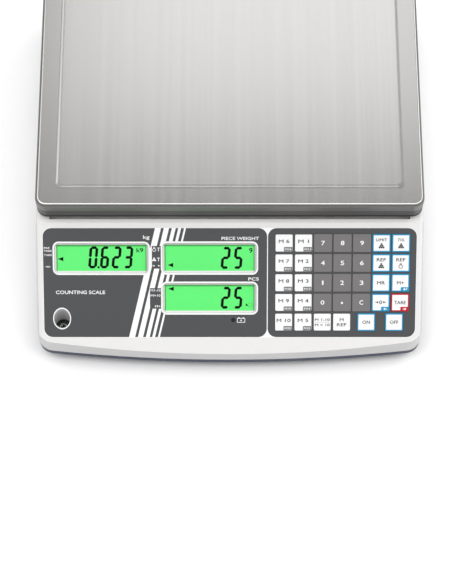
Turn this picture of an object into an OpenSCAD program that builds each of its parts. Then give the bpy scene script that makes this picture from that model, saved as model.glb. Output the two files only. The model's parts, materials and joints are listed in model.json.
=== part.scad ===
// Bench counting scale: a wedge-fronted casing with three displays and a keypad on its slope,
// and a stainless weighing plate carried by a load cell. Millimetres, +Z up. The origin is on
// the table, under the middle of the casing, and the operator stands at -Y.

/* [Casing] */
// Width of the casing
case_w = 315; // [312:1:320]
// Depth of the casing along its middle
case_d = 330; // [328:1:336]
// Height of the flat deck under the weighing plate
deck_z = 94; // [93:0.5:95]
// Height of the front edge where the operating panel begins
fold_z = 29.7; // [29:0.1:31]
// Tilt of the operating panel above horizontal, in degrees
panel_tilt = 36; // [35.5:0.1:36.5]
// Height of the joint between the lower and the upper housing
seam_z = 17.5; // [17:0.5:20]
// Height of the underside above the table
underside_z = 8.5; // [8:0.5:10]
// Thickness of the moulded walls
wall = 2.8; // [2.4:0.1:3]
// Radius of the casing's corners seen from above
plan_r = 12; // [8:1:16]
// Radius that rounds the side edges of the panel
edge_r = 5; // [4.5:0.5:6]
// Radius that rounds the side edges of the deck
deck_edge_r = 4; // [3:0.25:4]
// Radius of the bow of the front edge seen from above
bow_r = 1328; // [1200:1:1500]

/* [Operating panel] */
// Width of the printed film
film_w = 304; // [300:1:304]
// Length of the printed film up the slope
film_h = 91.7; // [90:0.1:92]
// Distance of the film's lower edge up the slope from the fold
film_v = 13.9; // [13.8:0.1:14.6]
// Thickness of the printed film
film_t = 0.5; // [0.4:0.1:0.6]
// Width of a display window
window_w = 73.4; // [70:0.1:74]
// Height of a display window
window_h = 21.8; // [20:0.1:22]
// Width of the film's opening round a display
bezel_w = 79.2; // [78:0.1:80]
// Height of the film's opening round a display
bezel_h = 27.8; // [27:0.1:28]
// Radius of the vertical shaft over the level vial
level_r = 6.6; // [5:0.1:6.8]

/* [Keys] */
// Key spacing across the panel
key_pitch_u = 15.8; // [15.8:0.05:15.9]
// Key spacing up the slope
key_pitch_v = 16.45; // [16.4:0.05:16.5]
// Width of a memory key
key_w = 13.8; // [13:0.1:14]
// Height of a memory key
key_h = 14; // [13:0.1:14.4]
// Side of a digit key
digit_w = 14.8; // [14:0.1:15]
// Side of a function key, its coloured border included
function_w = 14.7; // [14:0.1:15]
// Travel of a key when it is pressed
key_travel = 0.4; // [0.3:0.05:0.45]

/* [Weighing plate] */
// Width of the weighing plate
plate_w = 312; // [300:1:313]
// Depth of the weighing plate
plate_d = 231; // [225:1:234]
// Height of the plate's top face above the table
plate_z = 120.1; // [119:0.1:124]
// Thickness of the stainless sheet
sheet = 1; // [0.8:0.1:1.2]
// Height of the plate's lower edge above the table
skirt_z = 99.8; // [99:0.1:101]
// Height that the middle of the plate stands above its border
emboss = 0.4; // [0.3:0.1:1]
// Width of the border round the raised middle
border = 17.5; // [14:0.5:20]

/* [Load cell] */
// Length of the load cell
cell_l = 130; // [126:1:130]
// Width of the load cell
cell_w = 30; // [26:1:32]
// Height of the load cell
cell_h = 22; // [22:1:24]
// Height of the load cell's lower face above the table
cell_z = 58; // [56:0.5:58]

/* [Feet] */
// Distance of a foot from the middle plane
foot_x = 128; // [124:1:130]
// Place of the front feet along the depth
foot_front_y = -112; // [-114:1:-106]
// Place of the rear feet along the depth
foot_rear_y = 138; // [136:1:140]
// Radius of the threaded stud
stud_r = 4; // [3.5:0.5:4]

/* [Battery] */
// Width of the battery
battery_w = 70; // [66:1:70]
// Length of the battery along the depth
battery_l = 100; // [96:1:100]
// Height of the battery
battery_h = 47; // [44:1:48]

/* [Hidden] */
$fn = 48;
eps = 0.01;
corner_steps = 8;
bow_steps = 32;
far = 400;

front_y = -case_d / 2;
rear_y = case_d / 2;
floor_z = 13;
chamfer = 3.5;
fit_gap = 0.05;
lip_gap = 0.3;
lip_t = 2;
lip_h = 3;

// Drip gutter across the deck, under the front edge of the weighing plate
gutter_w = 292;
gutter_front_y = -73.2;
gutter_rear_y = -66;
gutter_z = 84;

// Operating panel: u runs across, v up the slope from the fold, w out of the slope.
film_sink = 0.4;
film_r = 7.8;
bezel_r = 5;
ledge_w = 1.1;
ledge_t = 1.4;
lcd_w = 78;
lcd_h = 27;
lcd_t = 5;
LCD_UV = [[-104.2, 80.1], [-16.4, 80.3], [-16.4, 47]];
level_uv = [-136.9, 30];
level_ring = 0.8;
level_tube_t = 1.9;
vial_r = 7.6;
vial_z0 = 22;
vial_z1 = 30.3;
pad_low_w = -2.3;
switch_t = 0.5;
dome_gap = 0.1;
key_low_w = pad_low_w + switch_t + key_travel + dome_gap;
key_high_w = 0.55;
key_gap = 0.15;
key_r = 1;
pad_wall_w = -5;
board_t = 1.6;
board_w = -wall - lcd_t - board_t;

// Keys are [node name, column, row, width, height]; row 0 is the highest.
key_u0 = 44.05;
key_v0 = 92.8;
DIGIT_NAMES = ["7", "8", "9", "4", "5", "6", "1", "2", "3", "0", "point", "clear"];
DIGIT_KEYS = [
    for (row = [0:3], col = [0:2])
        [str("key_", DIGIT_NAMES[row * 3 + col]), col + 2, row, digit_w, digit_w]
];
MEMORY_KEYS = [
    for (i = [1:10]) [str("key_m", i), i <= 5 ? 1 : 0, (i - 1) % 5, key_w, key_h]
];
FUNCTION_NAMES = [
    "key_limit", "key_tolerance", "key_reference_count", "key_reference_weight",
    "key_memory_recall", "key_memory_add", "key_zero", "key_tare"
];
FUNCTION_KEYS = [
    for (i = [0:7]) [FUNCTION_NAMES[i], 5 + i % 2, floor(i / 2), function_w, function_w]
];
LAST_ROW_KEYS = [
    ["key_memory_bank", 2, 4, key_w, key_h], ["key_memory_reference", 3, 4, key_w, key_h],
    ["key_on", 4.27, 4, function_w, function_w], ["key_off", 5.71, 4, function_w, function_w]
];
KEYS = concat(MEMORY_KEYS, DIGIT_KEYS, FUNCTION_KEYS, LAST_ROW_KEYS);
function key_uv(key) = [key_u0 + key_pitch_u * key[1], key_v0 - key_pitch_v * key[2]];

// Weighing plate and its support
plate_y = 41.5;
plate_r = 9;
emboss_r = 4;
arm_z = 100;
arm_t = 6;
arm_w = 22;
pad_x = 115;
pad_y = 80;
pad_r = 10;
pad_z = 114;
cell_end = 30;
cell_hole_x = 50;
cell_hole_pitch = 16;
bolt_r = 3;
bolt_head_r = 5;
bolt_depth = 12;
hatch = 40;

// Feet
sole_r = 15;
sole_h = 3.5;
wheel_r = 15.5;
wheel_z = 7.5;
wheel_teeth = 30;
spigot_r = 3;
stud_z = 26;
boss_r = 8;
boss_z = 30;
FEET = [
    ["front_left", -foot_x, foot_front_y], ["front_right", foot_x, foot_front_y],
    ["rear_left", -foot_x, foot_rear_y], ["rear_right", foot_x, foot_rear_y]
];

// Screws that hold the two housings together
screw_r = 2;
screw_head_r = 4;
screw_head_z = 10;
screw_seat_z = 11.6;
screw_top_z = 28;
post_r = 4.5;
SCREW_XY = [
    for (side = [-1, 1], p = [[60, -151], [144, -50], [144, 118], [50, 154]])
        [side * p[0], p[1]]
];

// Battery compartment in the lower housing, closed by a door that slides out to the left
battery_x = -108;
battery_y = 55;
bay_gap = 1;
door_t = 4;
door_x0 = -case_w / 2 + chamfer;
door_x1 = battery_x + battery_w / 2 + 3;
door_w = battery_l + 6;
tongue = 1.5;
tongue_low = 1.2;
slide_gap = 0.2;
bay_wall = 2;
bay_z = 17;

// Boards and power inlet
main_w = 66;
main_l = 100;
main_x = 107;
main_y = 50;
main_z = 22;
dc_x = 100;
dc_z = 32;
dc_bore_r = 2.85;
dc_bore_l = 9;
dc_collar_r = 4.2;
dc_block_l = 14;

// ---- Outlines ----

function arc(c, r, from, to, steps) = [
    for (i = [0:steps]) let (a = from + (to - from) * i / steps) c + r * [cos(a), sin(a)]
];

function rounded_rect(w, h, r) = concat(
    arc([w / 2 - r, h / 2 - r], r, 0, 90, corner_steps),
    arc([r - w / 2, h / 2 - r], r, 90, 180, corner_steps),
    arc([r - w / 2, r - h / 2], r, 180, 270, corner_steps),
    arc([w / 2 - r, r - h / 2], r, 270, 360, corner_steps));

// The casing from above: straight sides and rear, bowed front, all corners rounded.
function plan(inset) =
    let (
        r = max(plan_r - inset, 1),
        x = case_w / 2 - inset - r,
        bow = bow_r - inset,
        bow_c = [0, front_y + bow_r],
        front_c = [x, bow_c[1] - sqrt(pow(bow - r, 2) - x * x)],
        turn = atan2(front_c[1] - bow_c[1], x),
        rear_c = [x, rear_y - inset - r],
        sweep = -180 - 2 * turn
    )
    concat(
        arc(rear_c, r, 90, 0, corner_steps),
        arc(front_c, r, 0, turn, corner_steps),
        [for (i = [1:bow_steps - 1]) let (a = turn + sweep * i / bow_steps)
            bow_c + bow * [cos(a), sin(a)]],
        arc([-x, front_c[1]], r, -180 - turn, -180, corner_steps),
        arc([-x, rear_c[1]], r, 180, 90, corner_steps));

// A bar's cross-section: flat top at the height given, with rounded upper edges.
function bar(half, top, r) = concat(
    arc([half - r, top - r], r, 0, 90, corner_steps),
    arc([r - half, top - r], r, 90, 180, corner_steps),
    [[-half, top - far], [half, top - far]]);

module on_slope() {
    translate([0, front_y, fold_z]) rotate([panel_tilt, 0, 0]) children();
}

module slab(points, low, high) {
    translate([0, 0, low]) linear_extrude(high - low) polygon(points);
}

module rounded_box(w, h, r, low, high) {
    slab(rounded_rect(w, h, r), low, high);
}

module box(low, high) {
    translate(low) cube(high - low);
}

module rod(r, low, high) {
    translate([0, 0, low]) cylinder(r = r, h = high - low);
}

// ---- Housings ----

// The casing's outer form from the table up, or that form shrunk by inset.
module casing(inset) {
    half = case_w / 2 - inset;
    panel_edge = max(edge_r - inset, 1.5);
    deck_edge = max(deck_edge_r - inset, 1);
    intersection() {
        slab(plan(inset), 0, deck_z + 1);
        translate([0, far / 2, 0]) rotate([90, 0, 0])
            linear_extrude(far) polygon(bar(half, deck_z - inset, deck_edge));
        on_slope() translate([0, 2 * far, 0]) rotate([90, 0, 0])
            linear_extrude(3 * far) polygon(bar(half, -inset, panel_edge));
    }
}

module at_lcds() {
    for (uv = LCD_UV) translate([uv[0], uv[1], 0]) children();
}

module at_key(key) {
    translate([key_uv(key)[0], key_uv(key)[1], 0]) children();
}

module at_level() {
    translate([level_uv[0], front_y + level_uv[1] * cos(panel_tilt), 0]) children();
}

// The keypad's recess, between two heights above the slope.
module keypad_block(low, high, margin) {
    low_v = key_v0 - 4.5 * key_pitch_v - margin;
    high_v = key_v0 + 0.5 * key_pitch_v + margin;
    low_u = key_u0 - key_pitch_u / 2 - margin;
    high_u = key_u0 + 6.5 * key_pitch_u + margin;
    box([low_u, low_v, low], [high_u, high_v, high]);
}

// The gutter's hollow, or with its walls when grown by their thickness.
module gutter(grow) {
    box([-gutter_w / 2 - grow, gutter_front_y - grow, gutter_z - grow],
        [gutter_w / 2 + grow, gutter_rear_y + grow, far]);
}

module upper_housing() {
    color("whitesmoke") difference() {
        union() {
            difference() {
                intersection() {
                    casing(0);
                    box([-far, -far, seam_z], [far, far, far]);
                }
                casing(wall);
            }
            intersection() {
                casing(wall / 2);
                union() {
                    on_slope() keypad_block(pad_wall_w, -wall / 2, 1);
                    for (p = SCREW_XY) translate([p[0], p[1], 0]) rod(post_r, floor_z, far);
                    at_level() rod(level_r + level_tube_t, vial_z1, far);
                    gutter(wall);
                }
            }
        }
        on_slope() {
            translate([0, film_v + film_h / 2, 0])
                rounded_box(film_w, film_h, film_r, -film_sink, 1);
            keypad_block(pad_low_w, 0, 0);
            at_lcds() {
                rounded_box(window_w, window_h, 0.6, pad_wall_w - 1, 1);
                rounded_box(window_w + 2 * ledge_w, window_h + 2 * ledge_w, 1, -ledge_t, 1);
            }
        }
        gutter(0);
        at_level() rod(level_r, vial_z1 - 1, far);
        for (p = SCREW_XY) translate([p[0], p[1], 0])
            rod(screw_r + fit_gap, floor_z - 1, screw_top_z + 2);
        translate([cell_hole_x, plate_y, 0]) rounded_box(hatch, hatch, 4, deck_z - 10, deck_z + 1);
        translate([dc_x, rear_y + 1, dc_z]) rotate([90, 0, 0]) rod(dc_collar_r + 0.3, 0, 6);
    }
}

// The battery bay's parts, cut through the floor, with the grooves that the door runs in.
module door_channel() {
    half = door_w / 2 + slide_gap;
    low = underside_z - 1;
    high = underside_z + door_t + slide_gap;
    groove = underside_z + tongue_low - slide_gap;
    box([-far, battery_y - half, low], [door_x1 + slide_gap, battery_y + half, high]);
    box([-far, battery_y - half - tongue, groove],
        [door_x1 + slide_gap, battery_y + half + tongue, high]);
}

module lower_housing() {
    bay = [battery_w / 2 + bay_gap, battery_l / 2 + bay_gap];
    rail = [door_w / 2 + tongue + bay_wall, door_x1 + bay_wall];
    color("midnightblue") difference() {
        union() {
            difference() {
                union() {
                    hull() {
                        slab(plan(chamfer), underside_z, underside_z + 0.1);
                        slab(plan(0), underside_z + chamfer - 0.1, underside_z + chamfer);
                    }
                    slab(plan(0), underside_z + chamfer - eps, seam_z);
                    slab(plan(wall + lip_gap), seam_z - eps, seam_z + lip_h);
                }
                slab(plan(wall + lip_gap + lip_t), floor_z, far);
            }
            intersection() {
                slab(plan(wall), floor_z - 1, bay_z);
                box([-far, battery_y - rail[0], 0], [rail[1], battery_y + rail[0], far]);
            }
            for (foot = FEET) translate([foot[1], foot[2], 0]) rod(boss_r, floor_z - 1, boss_z);
            for (x = [-1, 1], y = [-1, 1])
                translate([main_x + x * (main_w / 2 - 4), main_y + y * (main_l / 2 - 4), 0])
                    rod(3, floor_z - 1, main_z);
            at_level() rod(6, floor_z - 1, vial_z0);
        }
        door_channel();
        box([battery_x - bay[0], battery_y - bay[1], 0], [battery_x + bay[0], battery_y + bay[1], far]);
        for (foot = FEET) translate([foot[1], foot[2], 0]) rod(stud_r + fit_gap, 0, boss_z - 1.5);
        for (p = SCREW_XY) translate([p[0], p[1], 0]) {
            rod(screw_r + 0.3, 0, floor_z + 1);
            rod(screw_head_r + 0.4, 0, screw_seat_z);
        }
    }
}

module housing_screws() {
    color("silver") for (p = SCREW_XY) translate([p[0], p[1], 0]) difference() {
        union() {
            rod(screw_head_r, screw_head_z, screw_seat_z);
            rod(screw_r, screw_seat_z - eps, screw_top_z);
        }
        translate([0, 0, screw_head_z - 1]) cylinder(r = 1.5, h = 2, $fn = 6);
    }
}

module battery() {
    terminal = [6, 1, 6];
    color("dimgray") {
        translate([battery_x, battery_y, 0])
            rounded_box(battery_w, battery_l, 2, floor_z, floor_z + battery_h - 6);
        for (x = [-20, 20])
            translate([battery_x + x - 3, battery_y - battery_l / 2 + 8, floor_z + battery_h - 6])
                cube(terminal);
    }
}

module battery_door() {
    grip = 8;
    color("midnightblue") difference() {
        union() {
            box([door_x0, battery_y - door_w / 2, underside_z],
                [door_x1, battery_y + door_w / 2, underside_z + door_t]);
            box([door_x0, battery_y - door_w / 2 - tongue, underside_z + tongue_low],
                [door_x1, battery_y + door_w / 2 + tongue, underside_z + door_t]);
        }
        for (i = [0:3])
            box([door_x0 + 6 + 4 * i, battery_y - grip, underside_z - 1],
                [door_x0 + 8 + 4 * i, battery_y + grip, underside_z + 0.8]);
    }
}

module level_vial() {
    color("yellowgreen") at_level() rod(vial_r, vial_z0, vial_z1);
}

module dc_socket() {
    color("black") translate([dc_x, rear_y, dc_z]) rotate([90, 0, 0]) difference() {
        union() {
            rod(dc_collar_r, 0, wall + 1);
            box([-5.5, -5, wall], [5.5, 5, dc_block_l]);
        }
        rod(dc_bore_r, -1, dc_bore_l);
    }
}

// ---- Operating panel ----

module panel_overlay() {
    color("dimgray") difference() {
        on_slope() difference() {
            union() {
                translate([0, film_v + film_h / 2, 0])
                    rounded_box(film_w, film_h, film_r, -film_sink, film_t - film_sink);
                keypad_block(pad_low_w, pad_low_w + switch_t, -0.5);
            }
            at_lcds() rounded_box(bezel_w, bezel_h, bezel_r, -1, 1);
            for (key = KEYS) at_key(key)
                rounded_box(key[3] + 2 * key_gap, key[4] + 2 * key_gap, key_r, -1, 1);
        }
        at_level() rod(level_r + level_ring, vial_z1, far);
    }
}

module lcd_modules() {
    color("lightgreen") on_slope() at_lcds() rounded_box(lcd_w, lcd_h, 1, -wall - lcd_t, -wall);
}

module display_board() {
    cut_r = level_r + level_tube_t + 1;
    color("darkgreen") difference() {
        on_slope() union() {
            translate([0, film_v + film_h / 2, 0])
                rounded_box(film_w - 8, film_h - 10, 2, board_w, board_w + board_t);
            box([20, 24, board_w - 6], [34, 32, board_w + eps]);
            box([-100, 50, board_w - 4], [-70, 60, board_w + eps]);
        }
        at_level() rod(cut_r, 0, far);
    }
}

// One key pad, pressed straight into the slope.
module key_cap(key) {
    digit = key[3] == digit_w;
    color(digit ? "gray" : "white") on_slope() at_key(key)
        rounded_box(key[3], key[4], key_r, key_low_w, key_high_w);
}

module main_board() {
    top = main_z + board_t;
    color("darkgreen") translate([main_x, main_y, 0]) {
        rounded_box(main_w, main_l, 2, main_z, top);
        box([-26, -40, top], [-4, -18, top + 16]);
        box([4, -36, top], [28, -24, top + 8]);
        box([-20, 8, top], [0, 28, top + 3]);
        for (y = [10, 24]) translate([16, y, 0]) rod(5, top, top + 14);
    }
}

// ---- Load cell and weighing plate ----

module at_cell_end(side) {
    for (y = [-1, 1])
        translate([side * cell_hole_x, plate_y + y * cell_hole_pitch / 2, 0]) children();
}

module chassis_frame() {
    foot_t = 4;
    pedestal = cell_end / 2;
    half_w = cell_l / 2 + 1;
    color("lightgray") difference() {
        union() {
            box([-half_w, plate_y - 50, floor_z], [half_w, plate_y + 50, floor_z + foot_t]);
            box([-cell_hole_x - pedestal, plate_y - pedestal, floor_z],
                [-cell_hole_x + pedestal, plate_y + pedestal, cell_z]);
            for (y = [-1, 1])
                translate([-cell_hole_x, plate_y + y * (pedestal - 3) - 3, floor_z]) rotate([90, 0, 0])
                    translate([0, 0, -6]) linear_extrude(6)
                        polygon([[0, 0], [cell_end * 1.6, 0], [cell_end * 1.6, foot_t], [0, 34]]);
        }
        at_cell_end(-1) {
            rod(bolt_r + 0.3, 0, far);
            rod(bolt_head_r + 0.4, 0, floor_z + foot_t);
        }
        translate([25, plate_y, 0]) rod(14, 0, floor_z + foot_t + 1);
        for (x = [-1, 1], y = [-1, 1])
            translate([x * (half_w - 8), plate_y + y * 42, 0]) rod(2.2, 0, floor_z + foot_t + 1);
    }
}

module load_cell() {
    middle_z = cell_z + cell_h / 2;
    hole_r = 8;
    hole_x = 12;
    color("silver") difference() {
        box([-cell_l / 2, plate_y - cell_w / 2, cell_z],
            [cell_l / 2, plate_y + cell_w / 2, cell_z + cell_h]);
        for (x = [-hole_x, hole_x])
            translate([x, plate_y + far / 2, middle_z]) rotate([90, 0, 0]) cylinder(r = hole_r, h = far);
        box([-hole_x, plate_y - far, middle_z - 3], [hole_x, plate_y + far, middle_z + 3]);
        at_cell_end(-1) rod(bolt_r + fit_gap, cell_z - 1, cell_z + bolt_depth);
        at_cell_end(1) rod(bolt_r + fit_gap, cell_z + cell_h - bolt_depth, far);
    }
}

module load_cell_bolts() {
    head_z = floor_z + 4;
    color("silver") at_cell_end(-1) {
        rod(bolt_head_r, floor_z + 0.2, head_z);
        rod(bolt_r, head_z - eps, cell_z + bolt_depth - 0.5);
    }
}

module plate_carrier() {
    base_z = cell_z + cell_h;
    top_z = arm_z + arm_t;
    angle = atan2(pad_y, pad_x);
    reach = norm([pad_x, pad_y]);
    color("gainsboro") translate([0, plate_y, 0]) difference() {
        union() {
            box([cell_hole_x - cell_end / 2, -cell_end / 2, base_z],
                [cell_hole_x + cell_end / 2, cell_end / 2, top_z]);
            rounded_box(2 * cell_hole_x + cell_end, 50, 8, arm_z, top_z);
            for (a = [angle, -angle]) rotate([0, 0, a])
                box([-reach, -arm_w / 2, arm_z], [reach, arm_w / 2, top_z]);
            for (x = [-1, 1], y = [-1, 1]) translate([x * pad_x, y * pad_y, 0])
                rod(arm_w / 2 + 1, arm_z, pad_z);
        }
        translate([0, -plate_y, 0]) at_cell_end(1) rod(bolt_r + 0.3, 0, far);
        translate([-20, 0, 0]) rod(14, 0, far);
    }
}

module carrier_bolts() {
    seat_z = arm_z + arm_t;
    color("silver") at_cell_end(1) difference() {
        union() {
            rod(bolt_head_r, seat_z, seat_z + 5);
            rod(bolt_r, cell_z + cell_h - bolt_depth + 1.5, seat_z + eps);
        }
        translate([0, 0, seat_z + 2]) cylinder(r = 2.6, h = 4, $fn = 6);
    }
}

module carrier_pads() {
    color("black") for (x = [-1, 1], y = [-1, 1]) translate([x * pad_x, plate_y + y * pad_y, 0])
        rod(pad_r, pad_z, plate_z - sheet);
}

module weighing_plate() {
    low_top = plate_z - emboss;
    raised_w = plate_w - 2 * border;
    raised_d = plate_d - 2 * border;
    color("silver") translate([0, plate_y, 0]) difference() {
        union() {
            rounded_box(plate_w, plate_d, plate_r, skirt_z, low_top);
            rounded_box(raised_w, raised_d, emboss_r, low_top - 1, plate_z);
        }
        rounded_box(plate_w - 2 * sheet, plate_d - 2 * sheet, plate_r - sheet,
            skirt_z - 1, low_top - sheet);
        rounded_box(raised_w - 2 * sheet, raised_d - 2 * sheet, emboss_r - sheet,
            skirt_z, plate_z - sheet);
    }
}

// ---- Feet ----

module foot_sole(foot) {
    color("black") translate([foot[1], foot[2], 0]) difference() {
        rod(sole_r, 0, sole_h);
        rod(spigot_r + fit_gap, 1.5, sole_h + 1);
    }
}

module foot_screw(foot) {
    outline = [
        for (i = [0:4 * wheel_teeth - 1]) let (a = 90 * i / wheel_teeth)
            (wheel_r - (i % 4 < 2 ? 0 : 0.6)) * [cos(a), sin(a)]
    ];
    color("darkslategray") translate([foot[1], foot[2], 0]) {
        slab(outline, sole_h, wheel_z);
        rod(spigot_r, 2, sole_h + eps);
        rod(stud_r, wheel_z - eps, stud_z);
    }
}

// ---- Nodes ----

lower_housing();
upper_housing();
panel_overlay();
lcd_modules();
display_board();
main_board();
chassis_frame();
load_cell();
load_cell_bolts();
plate_carrier();
carrier_bolts();
carrier_pads();
weighing_plate();
battery();
battery_door();
level_vial();
dc_socket();
housing_screws();
for (foot = FEET) foot_sole(foot);
for (foot = FEET) foot_screw(foot);
for (key = KEYS) key_cap(key);
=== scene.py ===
"""Bench counting scale: detailed surfaces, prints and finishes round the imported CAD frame."""
import json
from math import cos, pi, radians, sin

import bmesh
import bpy
from mathutils import Matrix, Vector

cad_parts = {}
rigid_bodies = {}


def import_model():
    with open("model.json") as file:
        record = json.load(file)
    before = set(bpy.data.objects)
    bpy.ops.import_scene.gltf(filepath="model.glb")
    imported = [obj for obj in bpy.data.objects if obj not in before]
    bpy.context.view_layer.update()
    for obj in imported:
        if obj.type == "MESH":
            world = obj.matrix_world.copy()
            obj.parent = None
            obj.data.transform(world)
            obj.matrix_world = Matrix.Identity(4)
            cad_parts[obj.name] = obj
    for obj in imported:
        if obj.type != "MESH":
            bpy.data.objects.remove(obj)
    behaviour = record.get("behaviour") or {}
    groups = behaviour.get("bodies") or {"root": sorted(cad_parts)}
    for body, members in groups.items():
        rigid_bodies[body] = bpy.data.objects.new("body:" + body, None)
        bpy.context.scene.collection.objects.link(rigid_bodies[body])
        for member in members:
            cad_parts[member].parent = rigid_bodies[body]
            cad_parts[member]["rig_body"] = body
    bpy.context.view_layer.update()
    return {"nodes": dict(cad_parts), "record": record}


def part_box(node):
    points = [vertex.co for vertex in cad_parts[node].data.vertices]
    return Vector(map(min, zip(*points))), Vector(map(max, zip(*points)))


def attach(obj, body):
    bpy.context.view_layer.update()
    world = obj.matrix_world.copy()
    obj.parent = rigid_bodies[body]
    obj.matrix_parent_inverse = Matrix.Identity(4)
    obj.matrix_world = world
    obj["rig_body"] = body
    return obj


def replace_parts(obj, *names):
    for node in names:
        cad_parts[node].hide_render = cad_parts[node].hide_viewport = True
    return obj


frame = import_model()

# Lengths are in millimetres. A plane's matrix brings them into the frame, in metres.
MM = 0.001
PANEL_TILT = radians(36)
FOLD_Z = 29.7
FRONT_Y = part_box("upper_housing")[0].y / MM
UPRIGHT = Matrix.Scale(MM, 4)
# On the slope, u runs across, v up the slope from its front fold, and w out of it.
SLOPE = UPRIGHT @ Matrix.Translation((0, FRONT_Y, FOLD_Z)) @ Matrix.Rotation(PANEL_TILT, 4, "X")

# Heights over the slope, and the thickness of a print. A print is cut through with CUT_REACH to spare.
FILM_TOP = 0.1
INK = 0.05
CUT_REACH = 1
FILM_BORDER = 0.5
DIVIDER_U = 30.65
DIVIDER_W = 0.7
ZONE_R = 7
PRINT_LOW_V = 14.4
PRINT_HIGH_V = 105.1

# The middle of each display's opening, and the opening's width, height and corner radius.
DISPLAYS = ((-104.2, 80.1), (-16.4, 80.3), (-16.4, 47))
OPENING = (79.2, 27.8, 5)
GLASS_TOP = -2.8

# A capital's height and the thickening of the strokes, as shares of the font's size and the capital.
CAPITAL_SHARE = 0.729
BOLD_SHARE = 0.022
LAYER_LIFT = 0.002
MERGE_DISTANCE = 0.0005


# ---- Outlines ----

def rounded_rect(w, h, r, at=(0, 0), steps=6):
    """The corner points of a rectangle with round corners, anticlockwise."""
    points = []
    for corner, (side_x, side_y) in enumerate(((1, 1), (-1, 1), (-1, -1), (1, -1))):
        for step in range(steps + 1):
            angle = pi / 2 * (corner + step / steps)
            points.append((at[0] + side_x * (w / 2 - r) + r * cos(angle),
                           at[1] + side_y * (h / 2 - r) + r * sin(angle)))
    return points


def ellipse(rx, ry, at=(0, 0), steps=48):
    angles = [2 * pi * step / steps for step in range(steps)]
    return [(at[0] + rx * cos(a), at[1] + ry * sin(a)) for a in angles]


def shifted(points, at):
    return [(x + at[0], y + at[1]) for x, y in points]


# ---- Meshes ----

class Shape:
    """A mesh built in millimetres on one plane, with a material for each face."""

    def __init__(self):
        self.bm = bmesh.new()
        self.materials = []

    def index(self, material):
        if material not in self.materials:
            self.materials.append(material)
        return self.materials.index(material)

    def face(self, corners, material):
        made = self.bm.faces.new(corners)
        made.material_index = self.index(material)
        made.smooth = True

    def loft(self, rings, material, bands=None, ends=True, closed=False):
        """Joins rings of (outline, height). bands gives the material of each band between rings."""
        loops = [[self.bm.verts.new((x, y, z)) for x, y in outline] for outline, z in rings]
        pairs = list(zip(loops, loops[1:]))
        if closed:
            pairs.append((loops[-1], loops[0]))
        for band, (low, high) in enumerate(pairs):
            finish = bands[band] if bands else material
            for i in range(len(low)):
                j = (i + 1) % len(low)
                self.face((low[i], low[j], high[j], high[i]), finish)
        if ends:
            self.face(list(reversed(loops[0])), bands[0] if bands else material)
            self.face(loops[-1], material)

    def prism(self, outline, low, high, material):
        self.loft([(outline, low), (outline, high)], material)

    def ring(self, outer, inner, low, high, edge, material):
        """A raised rim between two outlines of (width, height, radius, centre)."""
        def outline(size, grow):
            return rounded_rect(size[0] + 2 * grow, size[1] + 2 * grow, size[2] + grow, size[3])
        self.loft([(outline(outer, 0), low), (outline(outer, 0), high - edge),
                   (outline(outer, -edge), high), (outline(inner, edge), high),
                   (outline(inner, 0), high - edge), (outline(inner, 0), low)],
                  material, ends=False, closed=True)

    def text(self, words, height, width, at, low, material):
        """Thin letters that fill a width. height is that of the capitals, and at is their middle.
        The letters are laid down five times, a little apart, so that their strokes get thicker."""
        bold = height * BOLD_SHARE
        curve = bpy.data.curves.new("letters", "FONT")
        curve.body = words
        curve.align_x = "CENTER"
        curve.size = height / CAPITAL_SHARE
        curve.resolution_u = 3
        curve.extrude = INK / 2
        holder = bpy.data.objects.new("letters", curve)
        mesh = bpy.data.meshes.new_from_object(holder)
        reach = [vertex.co.x for vertex in mesh.vertices]
        middle = (min(reach) + max(reach)) / 2
        mesh.transform(Matrix.Translation((at[0], at[1] - height / 2, low + INK / 2))
                       @ Matrix.Diagonal((width / (max(reach) - min(reach)), 1, 1, 1))
                       @ Matrix.Translation((-middle, 0, 0)))
        first = len(self.bm.faces)
        self.bm.from_mesh(mesh)
        for step_x, step_y in ((bold, 0), (-2 * bold, 0), (bold, bold), (0, -2 * bold)):
            mesh.transform(Matrix.Translation((step_x, step_y, LAYER_LIFT)))
            self.bm.from_mesh(mesh)
        self.bm.faces.ensure_lookup_table()
        for face in self.bm.faces[first:]:
            face.material_index = self.index(material)
            face.smooth = False
        bpy.data.objects.remove(holder)
        bpy.data.curves.remove(curve)
        bpy.data.meshes.remove(mesh)

    def piece(self, name, body, slot, plane=UPRIGHT, sharp=50):
        """The finished object, riding on a body."""
        bmesh.ops.remove_doubles(self.bm, verts=self.bm.verts, dist=MERGE_DISTANCE)
        bmesh.ops.recalc_face_normals(self.bm, faces=self.bm.faces)
        mesh = bpy.data.meshes.new(name)
        self.bm.to_mesh(mesh)
        self.bm.free()
        mesh.transform(plane)
        for material in self.materials:
            mesh.materials.append(material)
        return placed(name, mesh, body, sharp)


def added(name, data):
    """A new object in the scene."""
    obj = bpy.data.objects.new(name, data)
    bpy.context.scene.collection.objects.link(obj)
    return obj


def placed(name, mesh, body, sharp=50):
    """Adds a mesh to the scene as a piece with smooth shading between its sharp edges."""
    mesh.set_sharp_from_angle(angle=radians(sharp))
    obj = added(name, mesh)
    normals = obj.modifiers.new("normals", "WEIGHTED_NORMAL")
    normals.keep_sharp = True
    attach(obj, body)
    return obj


def applied(obj):
    """A new mesh of the object with its modifiers applied."""
    graph = bpy.context.evaluated_depsgraph_get()
    return bpy.data.meshes.new_from_object(obj.evaluated_get(graph))


WELD_DISTANCE = 1e-6
FLAT_ANGLE = radians(0.5)
EDGE_ANGLE = radians(34)


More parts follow.
